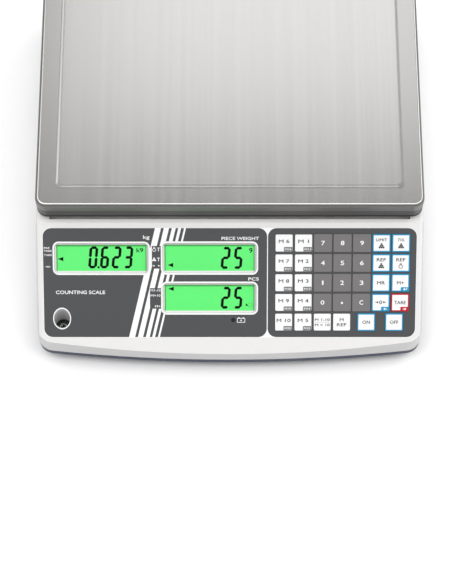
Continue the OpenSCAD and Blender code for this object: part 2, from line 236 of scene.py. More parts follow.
def refined(node, name, edge, material, fold=None):
    """A copy of a CAD node with clean faces and rounded edges, which stands for that node.
    fold is (test of an edge's middle, radius) for edges that get a larger radius."""
    source = frame["nodes"][node]
    bm = bmesh.new()
    bm.from_mesh(source.data)
    bmesh.ops.remove_doubles(bm, verts=bm.verts, dist=WELD_DISTANCE)
    bmesh.ops.dissolve_limit(bm, angle_limit=FLAT_ANGLE, verts=bm.verts, edges=bm.edges)
    widest = fold[1] if fold else edge
    weight = bm.edges.layers.float.new("bevel_weight_edge")
    for e in bm.edges:
        if len(e.link_faces) == 2 and e.calc_face_angle() > EDGE_ANGLE:
            middle = (e.verts[0].co + e.verts[1].co) / 2 / MM
            e[weight] = 1 if fold and fold[0](middle) else edge / widest
    for face in bm.faces:
        face.smooth = True
        face.material_index = 0
    mesh = bpy.data.meshes.new(name)
    bm.to_mesh(mesh)
    bm.free()
    mesh.materials.append(material)
    blank = added(name, mesh)
    bevel = blank.modifiers.new("edges", "BEVEL")
    bevel.limit_method = "WEIGHT"
    bevel.width = widest * MM
    bevel.segments = 3
    bevel.miter_outer = "MITER_ARC"
    rounded = applied(blank)
    bpy.data.objects.remove(blank)
    piece = placed(name, rounded, source["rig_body"])
    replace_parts(piece, node)
    return piece


# ---- Finishes ----

def srgb(red, green, blue):
    """Linear colour of a colour given as 0 to 255 on screen."""
    def linear(value):
        share = value / 255
        return share / 12.92 if share <= 0.04045 else ((share + 0.055) / 1.055) ** 2.4
    return (linear(red), linear(green), linear(blue), 1)


def finish(name, colour, roughness, grain=900, bump=0.1, depth=0.02, tint=0.04, spread=0.06,
           stretch=(1, 1, 1), **sockets):
    """A principled material. grain is the noise's density per metre, depth the height of its relief
    in millimetres, tint and spread how far its noise changes colour and roughness."""
    material = bpy.data.materials.new(name)
    material.use_nodes = True
    nodes = material.node_tree.nodes
    links = material.node_tree.links
    shader = nodes["Principled BSDF"]
    place = nodes.new("ShaderNodeTexCoord")
    mapping = nodes.new("ShaderNodeMapping")
    mapping.inputs["Scale"].default_value = stretch
    links.new(place.outputs["Object"], mapping.inputs["Vector"])

    fine = nodes.new("ShaderNodeTexNoise")
    fine.inputs["Scale"].default_value = grain
    fine.inputs["Detail"].default_value = 3
    links.new(mapping.outputs["Vector"], fine.inputs["Vector"])
    relief = nodes.new("ShaderNodeBump")
    relief.inputs["Strength"].default_value = bump
    relief.inputs["Distance"].default_value = depth * MM
    links.new(fine.outputs["Fac"], relief.inputs["Height"])
    links.new(relief.outputs["Normal"], shader.inputs["Normal"])

    broad = nodes.new("ShaderNodeTexNoise")
    broad.inputs["Scale"].default_value = grain / 12
    broad.inputs["Detail"].default_value = 4
    links.new(mapping.outputs["Vector"], broad.inputs["Vector"])
    ramp = nodes.new("ShaderNodeValToRGB")
    for stop, share in zip(ramp.color_ramp.elements, (1 - tint, 1 + tint)):
        stop.color = [min(channel * share, 1) for channel in colour[:3]] + [1]
    links.new(broad.outputs["Fac"], ramp.inputs["Fac"])
    links.new(ramp.outputs["Color"], shader.inputs["Base Color"])
    rough = nodes.new("ShaderNodeMapRange")
    rough.inputs["To Min"].default_value = roughness - spread
    rough.inputs["To Max"].default_value = roughness + spread
    links.new(broad.outputs["Fac"], rough.inputs["Value"])
    links.new(rough.outputs["Result"], shader.inputs["Roughness"])
    if sockets.pop("glow", False):
        links.new(ramp.outputs["Color"], shader.inputs["Emission Color"])
    for socket, value in sockets.items():
        shader.inputs[socket.replace("_", " ")].default_value = value
    return material


# Noise stretched into the marks of a brush, front to back or across.
BRUSHED = (1, 0.012, 0.012)
BRUSHED_ACROSS = (0.012, 1, 1)


def plate_steel(name, colour, tint):
    """Brushed stainless steel of the plate's upper face."""
    return finish(name, colour, 0.25, grain=2600, bump=0.12, depth=0.002, tint=tint, spread=0.03,
                  stretch=BRUSHED, Metallic=1.0)


def painted_shade_skirt_steel(name, colour):
    """The rougher steel of the plate's turned-down skirt, in a colour darkened as painted shade."""
    return finish(name, colour, 0.48, grain=2600, bump=0.1, depth=0.002, tint=0.02,
                  stretch=BRUSHED_ACROSS, Metallic=1.0)


WHITE_PLASTIC = finish("white_plastic", srgb(228, 227, 226), 0.42, grain=1600, depth=0.03, tint=0.01)
# A greyer copy of the white plastic: painted shade for the casing's walls.
WALL_PAINTED_SHADE = finish("wall_painted_shade", srgb(206, 205, 205), 0.42, grain=1600, depth=0.03, tint=0.01)
NAVY_PLASTIC = finish("navy_plastic", srgb(26, 40, 68), 0.45, grain=1600, depth=0.03)
FILM = finish("grey_film", srgb(72, 73, 75), 0.5, grain=2600, depth=0.008, tint=0.015)
WHITE_INK = finish("white_ink", srgb(246, 246, 246), 0.5, grain=2600, depth=0.005, tint=0.01)
DARK_INK = finish("dark_ink", srgb(42, 42, 44), 0.5, grain=2600, depth=0.005)
BLUE_INK = finish("blue_ink", srgb(0, 142, 190), 0.45, grain=2600, depth=0.005)
RED_INK = finish("red_ink", srgb(192, 8, 38), 0.45, grain=2600, depth=0.005)
TAB_INK = finish("tab_ink", srgb(118, 118, 119), 0.5, grain=2600, depth=0.005)
KEY_WHITE = finish("key_white", srgb(243, 243, 243), 0.45, grain=2600, depth=0.008, tint=0.01)
KEY_GREY = finish("key_grey", srgb(116, 114, 114), 0.45, grain=2600, depth=0.008, tint=0.02)
LCD_GREEN = finish("lcd_green", srgb(92, 232, 114), 0.35, grain=120, bump=0.02, depth=0.002,
                   tint=0.05, glow=True, Emission_Strength=0.1, Coat_Weight=1.0, Coat_Roughness=0.06)
LCD_BLACK = finish("lcd_black", srgb(3, 18, 7), 0.6, grain=2600, depth=0.002, Specular_IOR_Level=0.1)
# Darker green for the painted shade along the displays' edges.
LCD_PAINTED_SHADE = finish("lcd_painted_shade", srgb(74, 182, 88), 0.35, grain=2600, depth=0.002)
LCD_FAINT = finish("lcd_faint", srgb(60, 190, 78), 0.35, grain=2600, depth=0.002)
GLASS_EDGE = finish("glass_edge", srgb(170, 196, 180), 0.15, grain=900, depth=0.004,
                    Transmission_Weight=0.4)
VIAL_BLACK = finish("vial_black", srgb(14, 14, 15), 0.12, grain=700, depth=0.004,
                    Coat_Weight=1.0, Coat_Roughness=0.03)
VIAL_LIQUID = finish("vial_liquid", srgb(196, 202, 190), 0.08, grain=500, depth=0.003,
                     Transmission_Weight=0.7)
PLATE_STEEL = plate_steel("plate_steel", srgb(197, 196, 194), 0.09)
# Darker copies of the plate's steel: painted shade for the border, and deeper painted shade for the
# skirt's upper and lower bands, where the steel shows darker reflections.
BORDER_PAINTED_SHADE = plate_steel("border_painted_shade", srgb(186, 185, 183), 0.06)
SKIRT_UPPER_PAINTED_SHADE = painted_shade_skirt_steel("painted_shade_skirt_steel", srgb(132, 131, 130))
SKIRT_LOWER_PAINTED_SHADE = painted_shade_skirt_steel("skirt_lower_painted_shade", srgb(100, 99, 98))
CAST_METAL = finish("cast_aluminium", srgb(190, 191, 193), 0.5, grain=900, bump=0.4, depth=0.05,
                    Metallic=1.0)
MILLED_METAL = finish("milled_aluminium", srgb(214, 214, 216), 0.3, grain=2200, bump=0.2, depth=0.01,
                      stretch=(0.05, 1, 1), Metallic=1.0)
ZINC = finish("zinc_plate", srgb(186, 190, 196), 0.36, grain=1200, bump=0.15, depth=0.01, Metallic=1.0)
RUBBER = finish("black_rubber", srgb(34, 34, 35), 0.8, grain=1500, bump=0.4, depth=0.04)
BLACK_PLASTIC = finish("black_plastic", srgb(40, 41, 44), 0.42, grain=1500, depth=0.03)
LAMP_DARK = finish("lamp_dark", srgb(36, 36, 39), 0.6, grain=1500, depth=0.01, Specular_IOR_Level=0.2)
# Grey for the painted shadow under the step inside each display frame.
FRAME_PAINTED_SHADOW = finish("frame_painted_shadow", srgb(176, 176, 177), 0.5, grain=1600, depth=0.01, tint=0.01)
BOARD_GREEN = finish("solder_mask", srgb(22, 92, 52), 0.3, grain=700, depth=0.01, tint=0.2,
                     Coat_Weight=0.5)
FLOOR_WHITE = finish("studio_floor", srgb(252, 252, 252), 0.9, grain=40, depth=0.01, tint=0.002)


# ---- Casing ----

FOLD_REACH = 12
FOLD_TOLERANCE = 0.03
FOLD_RADIUS = 1.2
# A face is part of a wall, which takes the painted shade, where its normal rises by less than this.
WALL_RISE = 0.6


def on_front_fold(middle):
    """Whether an edge, seen by its middle, is the fold between the slope and the front wall."""
    height_over_slope = (SLOPE.inverted() @ (middle * MM)).z
    return middle.y < FRONT_Y + FOLD_REACH and abs(height_over_slope) < FOLD_TOLERANCE


def casing():
    casing_top = refined("upper_housing", "upper_casing", 0.35, WHITE_PLASTIC,
                         fold=(on_front_fold, FOLD_RADIUS))
    # The walls get the greyer plastic, as painted shade for the shade that falls on them.
    casing_top.data.materials.append(WALL_PAINTED_SHADE)
    for face in casing_top.data.polygons:
        if abs(face.normal.z) < WALL_RISE:
            face.material_index = 1
    refined("lower_housing", "lower_casing", 0.4, NAVY_PLASTIC)
    refined("battery_door", "battery_door_moulding", 0.3, NAVY_PLASTIC)


# ---- Printed film ----

def cut(obj, cutter):
    """Cuts one closed mesh out of another and returns the mesh that is left."""
    tool = obj.modifiers.new("cut", "BOOLEAN")
    tool.operation = "DIFFERENCE"
    tool.solver = "EXACT"
    tool.object = cutter
    left = applied(obj)
    for used in (obj, cutter):
        bpy.data.objects.remove(used)
    return left


def draft(shape, name):
    """A plain object of a shape, for cutting."""
    bmesh.ops.recalc_face_normals(shape.bm, faces=shape.bm.faces)
    mesh = bpy.data.meshes.new(name)
    shape.bm.to_mesh(mesh)
    shape.bm.free()
    for material in shape.materials:
        mesh.materials.append(material)
    return added(name, mesh)


def print_zones():
    """The two grey fields that the divider separates, as (low u, high u)."""
    half = (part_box("panel_overlay")[1].x / MM) - FILM_BORDER
    return ((-half, DIVIDER_U - DIVIDER_W / 2), (DIVIDER_U + DIVIDER_W / 2, half))


def white_border():
    """The white print round the grey fields: the film's outline less both fields."""
    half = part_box("panel_overlay")[1].x / MM
    middle = (PRINT_LOW_V + PRINT_HIGH_V) / 2
    height = PRINT_HIGH_V - PRINT_LOW_V
    sheet = Shape()
    margin = 0.04
    sheet.prism(rounded_rect(2 * half - margin, height + 2 * FILM_BORDER - margin, ZONE_R + FILM_BORDER,
                             (0, middle)), FILM_TOP, FILM_TOP + INK, WHITE_INK)
    fields = Shape()
    for left, right in print_zones():
        fields.prism(rounded_rect(right - left, height, ZONE_R, ((left + right) / 2, middle)),
                     FILM_TOP - CUT_REACH, FILM_TOP + CUT_REACH, WHITE_INK)
    return cut(draft(sheet, "border"), draft(fields, "fields"))


# The white stripes that lean across the film: (left, right) where they meet its upper edge.
STRIPES = ((-60.5, -55.6), (-53.3, -49.1), (-46.8, -43.7), (-41.6, -39.3), (-36.9, -35.4))
STRIPE_LEAN = 0.2405
# The grey columns of signs that interrupt the stripes: (low u, high u, low v, high v).
ICON_COLUMNS = ((-63.2, -56, 71.6, 90.4), (-65, -56, 38.2, 55.4))


def stripes():
    """The stripes, cut where the display frames and the icon columns are."""
    sheet = Shape()
    fall = STRIPE_LEAN * (PRINT_HIGH_V - PRINT_LOW_V)
    for left, right in STRIPES:
        sheet.prism([(left - fall, PRINT_LOW_V), (right - fall, PRINT_LOW_V),
                     (right, PRINT_HIGH_V), (left, PRINT_HIGH_V)],
                    FILM_TOP, FILM_TOP + INK, WHITE_INK)
    blocks = Shape()
    width, height, radius = OPENING
    for middle in DISPLAYS:
        blocks.prism(rounded_rect(width, height, radius, middle),
                     FILM_TOP - CUT_REACH, FILM_TOP + CUT_REACH, WHITE_INK)
    rest = added("stripes", cut(draft(sheet, "stripes"), draft(blocks, "displays")))
    columns = Shape()
    for low_u, high_u, low_v, high_v in ICON_COLUMNS:
        columns.prism([(low_u, low_v), (high_u, low_v), (high_u, high_v), (low_u, high_v)],
                      FILM_TOP - CUT_REACH, FILM_TOP + CUT_REACH, WHITE_INK)
    return cut(rest, draft(columns, "columns"))


def arrow(shape, at, direction, size, low, material):
    """A short arrow that points left (-1) or right (1)."""
    tail = 0.09 * size
    head = 0.4 * size
    tip = direction * size / 2
    neck = direction * 0.02 * size
    points = [(-tip, tail), (-tip, -tail), (neck, -tail), (neck, -head), (tip, 0), (neck, head),
              (neck, tail)]
    if direction < 0:
        points.reverse()
    shape.prism(shifted(points, at), low, low + INK, material)


def zero_arrows(shape, at, height, low, material):
    """The sign for zero: arrows that point at a nought from both sides."""
    shape.text("0", height, 0.75 * height, at, low, material)
    for side in (-1, 1):
        arrow(shape, (at[0] + side * height, at[1]), -side, 0.95 * height, low, material)


def weight_sign(shape, at, size, low, material):
    """The outline of a weight with its knob."""
    body = shifted(ellipse(0.36 * size, 0.34 * size, steps=24), (at[0], at[1] - 0.13 * size))
    inner = shifted(ellipse(0.26 * size, 0.24 * size, steps=24), (at[0], at[1] - 0.13 * size))
    shape.loft([(body, low), (body, low + INK), (inner, low + INK), (inner, low)],
               material, ends=False, closed=True)
    knob = (0.34 * size, 0.3 * size, 0.1 * size, (at[0], at[1] + 0.32 * size))
    hollow = (0.18 * size, 0.14 * size, 0.04 * size, knob[3])
    shape.loft([(rounded_rect(*knob, steps=3), low), (rounded_rect(*knob, steps=3), low + INK),
                (rounded_rect(*hollow, steps=3), low + INK), (rounded_rect(*hollow, steps=3), low)],
               material, ends=False, closed=True)


def pile_sign(shape, at, size, low, material):
    """A pile of counted pieces: three rows of small discs that nearly touch."""
    radius = size / 6
    disc = 0.97 * radius
    row_pitch = 1.75 * radius
    for row in range(3):
        for place in range(row + 1):
            middle = (at[0] + (2 * place - row) * radius, at[1] + (1 - row) * row_pitch)
            shape.prism(ellipse(disc, disc, middle, steps=14), low, low + INK, material)


def battery_sign(shape, at, low, material):
    """A battery's outline with its two poles and a flash inside."""
    outer = rounded_rect(6.6, 3.8, 0.5, at, steps=3)
    inner = rounded_rect(5.7, 2.9, 0.2, at, steps=3)
    shape.loft([(outer, low), (outer, low + INK), (inner, low + INK), (inner, low)],
               material, ends=False, closed=True)
    for side in (-1, 1):
        shape.prism(rounded_rect(1.3, 0.5, 0.1, (at[0] + side * 1.8, at[1] + 2.15), steps=2),
                    low, low + INK, material)
    flash = [(0.5, 1.3), (-0.9, -0.2), (-0.1, -0.2), (-0.5, -1.3), (0.9, 0.2), (0.1, 0.2)]
    shape.prism(shifted(flash, at), low, low + INK, material)


# Words on the film: (words, capital height, width, (u, v) of their middle).
FILM_WORDS = (
    ("kg", 3, 5.2, (-67.6, 97.8)),
    ("PIECE WEIGHT", 2.6, 30.2, (8.5, 96.7)),
    ("PCS", 2.6, 8.4, (19.4, 63.1)),
    ("PRE", 1.5, 4.6, (-148.4, 88.7)),
    ("TARE", 1.5, 6.4, (-147.5, 86.3)),
    ("TARE", 1.5, 6.4, (-147.5, 82.9)),
    ("M1-10", 1.9, 8, (-60.4, 53.6)),
    ("M>10", 1.9, 8, (-60.4, 49.3)),
    ("M+", 1.9, 4.4, (-58.6, 40.3)),
    ("COUNTING SCALE", 3, 40, (-121.5, 52)),
)


# The signs in the upper column are each followed by a letter, at these heights on the slope.
COUNT_SIGNS_V = (87.6, 79.3)
LAMP_AT = (2.9, 28.8)


def film():
    refined("panel_overlay", "panel_film", 0.04, FILM)
    for name, made in (("film_white_border", white_border()), ("film_stripes", stripes())):
        made.transform(SLOPE)
        placed(name, made, "base")
    legends = Shape()
    for words, height, width, at in FILM_WORDS:
        legends.text(words, height, width, at, FILM_TOP, WHITE_INK)
    zero_arrows(legends, (-147.6, 73.2), 1.5, FILM_TOP, WHITE_INK)
    weight_sign(legends, (-61.3, COUNT_SIGNS_V[0]), 4.2, FILM_TOP, WHITE_INK)
    pile_sign(legends, (-61.4, COUNT_SIGNS_V[1]), 3.4, FILM_TOP, WHITE_INK)
    for v in COUNT_SIGNS_V:
        legends.text("T", 3, 2.2, (-57.8, v), FILM_TOP, WHITE_INK)
    for side in (-1, 1):
        arrow(legends, (-59.6 + side * 2.2, 74), -side, 2, FILM_TOP, WHITE_INK)
    battery_sign(legends, (9.3, 28.5), FILM_TOP, WHITE_INK)
    legends.piece("film_legends", "base", "panel_film", SLOPE)
    charge_lamp()


def charge_lamp():
    """The small dark dome of the lamp beside the battery sign."""
    lamp = Shape()
    dome = [(1.85, 0), (1.8, 0.12), (1.5, 0.28), (0.9, 0.38)]
    lamp.loft([(ellipse(r, r, LAMP_AT, 32), FILM_TOP + rise) for r, rise in dome], LAMP_DARK)
    lamp.piece("charge_lamp", "base", "panel_film", SLOPE)


# ---- Displays ----

SEGMENTS = {"0": "abcdef", "2": "abged", "3": "abgcd", "5": "afgcd", "6": "afgedc"}
DIGIT_H = 18.3
DIGIT_W = 7.1
DIGIT_SLANT = 0.09
SEGMENT_HALF = 1.12
SEGMENT_GAP = 0.06
SHOULDER = 0.8 * SEGMENT_HALF
# What the displays show: (figures, lower left corner, pitch).
READINGS = (("0623", (-115.3, 71.2), 9.5), ("25", (-7.6, 70.8), 10.2), ("25", (-7.6, 37.6), 10.2))
POINT_AT = (-106.7, 72.1)
POINT_R = 0.95
POINTERS = ((-137.4, 79), (-48.1, 74), (-47.7, 54.2))
# The glass and the rim of painted shade on it: (width, height, corner radius).
GLASS = (78, 27, 1)
GLASS_DEPTH = 5
SHADE_OUTER = (76, 25, 0.5)
SHADE_INNER = (71.6, 20.4, 0.5)
# The inner edge of the painted shade moves down by this, so that the shade is widest along the top.
SHADE_SHIFT = 0.9
# Widths of the white frame's ring and of the grey rim of painted shadow inside it, both all round.
FRAME_RING = 1.3
FRAME_SHADOW_RIM = 0.55


def digit(shape, sign, left, low_v, low):
    """A seven-segment figure whose lower left corner is at (left, low_v)."""
    x0, x1 = SEGMENT_HALF, DIGIT_W - SEGMENT_HALF
    y0, y1, y2 = SEGMENT_HALF, DIGIT_H / 2, DIGIT_H - SEGMENT_HALF
    ends = {"a": ((x0, y2), (x1, y2)), "b": ((x1, y1), (x1, y2)), "c": ((x1, y0), (x1, y1)),
            "d": ((x0, y0), (x1, y0)), "e": ((x0, y0), (x0, y1)), "f": ((x0, y1), (x0, y2)),
            "g": ((x0, y1), (x1, y1))}
    for name in SEGMENTS[sign]:
        start, end = (Vector(p) for p in ends[name])
        along = (end - start).normalized()
        side = Vector((-along.y, along.x)) * SEGMENT_HALF
        tip = along * SEGMENT_GAP
        shoulder = along * (SEGMENT_GAP + SHOULDER)
        corners = (start + tip, start + shoulder - side, end - shoulder - side, end - tip,
                   end - shoulder + side, start + shoulder + side)
        shape.prism([(left + p.x + DIGIT_SLANT * p.y, low_v + p.y) for p in corners],
                    low, low + INK, LCD_BLACK)


def pointer(shape, at, low):
    """The small mark that points at a word beside the display."""
    shape.prism([(at[0] - 2.3, at[1]), (at[0] + 2.1, at[1] - 1.8), (at[0] + 2.1, at[1] + 1.8)],
                low, low + INK, LCD_BLACK)


def screen(shape, middle):
    """One display's glass with a rim of painted shade."""
    width, height, radius = GLASS
    edge = 0.3
    full = rounded_rect(width, height, radius, middle)
    chamfered = rounded_rect(width - 2 * edge, height - 2 * edge, radius - edge, middle)
    shape.loft([(full, GLASS_TOP - GLASS_DEPTH), (full, GLASS_TOP - edge), (chamfered, GLASS_TOP)],
               LCD_GREEN, bands=[GLASS_EDGE, GLASS_EDGE])
    # A rim of painted shade along the glass's edges, widest along the top.
    shape.ring((*SHADE_OUTER, middle), (*SHADE_INNER, (middle[0], middle[1] - SHADE_SHIFT)),
               GLASS_TOP, GLASS_TOP + INK, 0.01, LCD_PAINTED_SHADE)


def low_battery_sign(shape):
    """The faint sign in the corner of the lowest display."""
    low, high = GLASS_TOP, GLASS_TOP + INK
    middle = (16.6, 40.9)
    shape.prism([(13.2, 39.8), (15.2, 40.4), (13.2, 42)], low, high, LCD_BLACK)
    shape.ring((3.4, 3, 0.2, middle), (3, 2.6, 0.1, middle), low, high, 0.01, LCD_FAINT)


def display_frame(shape, middle):
    """The white frame round a display, with a grey rim of painted shadow inside it, for the shade under
    the frame's step, that is wider above and on the right.
    """
    width, height, radius = OPENING
    outer = (width - 0.2, height - 0.2, radius - 0.1, middle)
    inside = (width - 2 * FRAME_RING - 0.2, height - 2 * FRAME_RING - 0.2, radius - 1.4, middle)
    # The painted shadow's inner edge moves down and to the left, so the shadow is wider above and on the
    # right.
    shadow_middle = (middle[0] - 0.25, middle[1] - 0.25)
    rim = (inside[0] - 2 * FRAME_SHADOW_RIM, inside[1] - 2 * FRAME_SHADOW_RIM, radius - 2, shadow_middle)
    shape.ring(outer, inside, -0.4, 0.2, 0.15, WHITE_INK)
    shape.ring(inside, rim, -0.4, -0.3, 0.02, FRAME_PAINTED_SHADOW)


def displays():
    screens = Shape()
    for middle in DISPLAYS:
        screen(screens, middle)
    for figures, (left, low_v), pitch in READINGS:
        for place, sign in enumerate(figures):
            digit(screens, sign, left + pitch * place, low_v, GLASS_TOP)
    screens.prism(ellipse(POINT_R, POINT_R, POINT_AT, 16), GLASS_TOP, GLASS_TOP + INK, LCD_BLACK)
    # Such displays show a small g with the same segments as a 9.
    screens.text("k9", 3.6, 5.4, (-73, 86.4), GLASS_TOP, LCD_BLACK)
    screens.text("9", 4.4, 2.4, (17.1, 86.2), GLASS_TOP, LCD_BLACK)
    for at in POINTERS:
        pointer(screens, at, GLASS_TOP)
    low_battery_sign(screens)
    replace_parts(screens.piece("display_screens", "base", "display_glass", SLOPE), "lcd_modules")
    frames = Shape()
    for middle in DISPLAYS:
        display_frame(frames, middle)
    frames.piece("display_frames", "base", "casing_white", SLOPE)


# ---- Keys ----

KEY_TOP = 0.55
KEY_LOW = -1.3
KEY_EDGE = 0.2
KEY_BORDER = 1
MEMORY_W = 13.8
MEMORY_H = 14
FUNCTION_W = 14.7
# The tab in a key's corner: its width, height, corner radius and distance from the key's edges.
TAB_W = 6.8
TAB_H = 3.6
TAB_R = 0.6
TAB_INSET = 0.2


def key_middle(node):
    """The middle of a key on the slope, and its width and height there."""
    low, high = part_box(node)
    middle = SLOPE.inverted() @ ((low + high) / 2)
    width = (high.x - low.x) / MM
    return middle.x, middle.y, width


def key_cap(shape, at, width, height, face, border):
    """A key's pad with rounded upper edges and, where it has one, a printed border."""
    def outline(inset):
        return rounded_rect(width - 2 * inset, height - 2 * inset, max(1 - inset, 0.3), at)
    rim = KEY_BORDER if border else KEY_EDGE + 0.1
    rings = [(outline(0), KEY_LOW), (outline(0), KEY_TOP - KEY_EDGE),
             (outline(0.3 * KEY_EDGE), KEY_TOP - 0.3 * KEY_EDGE), (outline(KEY_EDGE), KEY_TOP),
             (outline(rim), KEY_TOP), (outline(rim + 0.03), KEY_TOP)]
    shape.loft(rings, face, bands=[border or face] * 4 + [face])


def key_tab(shape, at, width, height, material):
    """Draws the field in a key's lower right corner and returns its middle."""
    right = at[0] + width / 2 - TAB_INSET
    low = at[1] - height / 2 + TAB_INSET
    curl = [(right - TAB_W + TAB_R - TAB_R * sin(a), low + TAB_H - TAB_R + TAB_R * cos(a))
            for a in (pi / 8 * step for step in range(5))]
    outline = [(right, low + TAB_H)] + curl + [(right - TAB_W, low), (right, low)]
    shape.prism(outline, KEY_TOP, KEY_TOP + INK, material)
    return right - TAB_W / 2, low + TAB_H / 2


def memory_sign(shape, at, number):
    """What stands on a memory key: its number, and in the tab that of the second bank."""
    width = 11.2 if number == 10 else 8.5
    shape.text(f"M {number}", 2.9, width, (at[0], at[1] + 1.6), KEY_TOP, DARK_INK)
    middle = key_tab(shape, at, MEMORY_W, MEMORY_H, TAB_INK)
    shape.text(f"M{number + 10}", 1.7, 4.9, middle, KEY_TOP + INK, WHITE_INK)


# Words over a picture: (words, capital height, width).
CAPTIONS = {"key_limit": ("LIMIT", 2.3, 9), "key_tolerance": ("TOL", 2.3, 5.6),
            "key_reference_count": ("REF", 2.8, 7.3), "key_reference_weight": ("REF", 2.8, 7.3)}
# Words that stand alone: (words, width).
SINGLE_WORDS = {"key_memory_recall": ("MR", 6.3), "key_memory_add": ("M+", 5.6),
                "key_tare": ("TARE", 9.2), "key_on": ("ON", 6), "key_off": ("OFF", 6.8)}
# Tabs with an arrow: (ink, direction).
ARROW_TABS = {"key_memory_add": (BLUE_INK, -1), "key_zero": (BLUE_INK, -1), "key_tare": (RED_INK, 1)}


def function_sign(shape, at, node):
    """What stands on a function key."""
    u, v = at
    if node in CAPTIONS:
        words, height, width = CAPTIONS[node]
        shape.text(words, height, width, (u, v + 2.8), KEY_TOP, DARK_INK)
        if node == "key_reference_weight":
            weight_sign(shape, (u, v - 2.3), 4.8, KEY_TOP, DARK_INK)
        else:
            pile_sign(shape, (u, v - 2.2), 4.8, KEY_TOP, DARK_INK)
    elif node == "key_zero":
        zero_arrows(shape, (u, v + 0.3), 3, KEY_TOP, DARK_INK)
    else:
        words, width = SINGLE_WORDS[node]
        shape.text(words, 2.9, width, (u, v + 0.1), KEY_TOP, DARK_INK)
    if node in ARROW_TABS:
        ink, direction = ARROW_TABS[node]
        middle = key_tab(shape, at, FUNCTION_W, FUNCTION_W, ink)
        arrow(shape, middle, direction, 3, KEY_TOP + INK, WHITE_INK)
        if node == "key_memory_add":
            hook = [(1.3, -0.2), (1.8, -0.2), (1.8, 1.3), (1.3, 1.3)]
            shape.prism(shifted(hook, middle), KEY_TOP + INK, KEY_TOP + 2 * INK, WHITE_INK)


def bank_sign(shape, at):
    """What stands on the key that changes between the two banks of memories."""
    shape.text("M 1-10", 2.2, 12, (at[0], at[1] + 2.2), KEY_TOP, DARK_INK)
    shape.text("M > 10", 2.2, 12, (at[0], at[1] - 2.2), KEY_TOP, DARK_INK)
    shape.prism(rounded_rect(12, 0.2, 0.05, at, steps=2), KEY_TOP, KEY_TOP + INK, TAB_INK)


def digit_sign(shape, at, node):
    """What stands on a key of the number block."""
    u, v = at
    if node == "key_point":
        shape.prism(ellipse(0.95, 0.95, (u, v - 0.3), 20), KEY_TOP, KEY_TOP + INK, WHITE_INK)
        return
    sign = "C" if node == "key_clear" else node[-1]
    width = 1.1 if sign == "1" else 2.9
    shape.text(sign, 3.7, width, (u, v + 0.2), KEY_TOP, WHITE_INK)


def node_slot(node):
    """The material slot that the record gives a node."""
    for part in frame["record"]["subparts"]:
        if part["node"] == node:
            return part["material_slot"]
    raise ValueError(f"the record has no node {node}")


def keys():
    """Every key pad with its print, riding on its own body."""
    for node in sorted(n for n in frame["nodes"] if n.startswith("key_")):
        u, v, width = key_middle(node)
        at = (u, v)
        slot = node_slot(node)
        shape = Shape()
        if slot == "key_digit":
            key_cap(shape, at, width, width, KEY_GREY, None)
            digit_sign(shape, at, node)
        elif slot == "key_memory":
            key_cap(shape, at, width, width + MEMORY_H - MEMORY_W, KEY_WHITE, None)
            if node == "key_memory_bank":
                bank_sign(shape, at)
            elif node == "key_memory_reference":
                shape.text("M", 2.7, 3.1, (u, v + 2.2), KEY_TOP, DARK_INK)
                shape.text("REF", 2.7, 7.6, (u, v - 2), KEY_TOP, DARK_INK)
            else:
                memory_sign(shape, at, int(node.removeprefix("key_m")))
        else:
            key_cap(shape, at, width, width, KEY_WHITE, RED_INK if node == "key_tare" else BLUE_INK)
            function_sign(shape, at, node)
        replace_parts(shape.piece(node + "_printed", node, slot, SLOPE), node)


# ---- Weighing plate ----

PLATE_SHEET = 1.0
PLATE_R = 9
PLATE_ROLL = 3
PLATE_EMBOSS = 0.33
RAISED_R = 4
# The ramp up to the raised middle, as distances from the plate's edge.
RAMP_START = 15.6
RAMP_END = 19.2
ROLL_STEPS = 8
RAMP_STEPS = 6
# The skirt steps in by CREASE_DEPTH at this share of its height, and its lower edge carries a band of
# painted shadow in the rubber's black.
CREASE_SHARE = 0.62
CREASE_DEPTH = 0.3
HEM_RISE = 0.2
SHADOW_BAND_H = 2.8
# The first points of the outer face that take the skirt's painted shade, and then the border's lighter
# painted shade.
SKIRT_POINTS = 6
BORDER_POINTS = 5


def plate_profile(depth, border_z):
    """Points of (inset, height) from the skirt to the middle, depth under the outer face."""
    roll = PLATE_ROLL - depth
    turns = (pi / 2 / ROLL_STEPS * step for step in range(ROLL_STEPS + 1))
    points = [(PLATE_ROLL - roll * cos(a), border_z - PLATE_ROLL + roll * sin(a)) for a in turns]
    for share in (step / RAMP_STEPS for step in range(RAMP_STEPS + 1)):
        rise = PLATE_EMBOSS * share * share * (3 - 2 * share)
        points.append((RAMP_START + (RAMP_END - RAMP_START) * share, border_z - depth + rise))
    return points


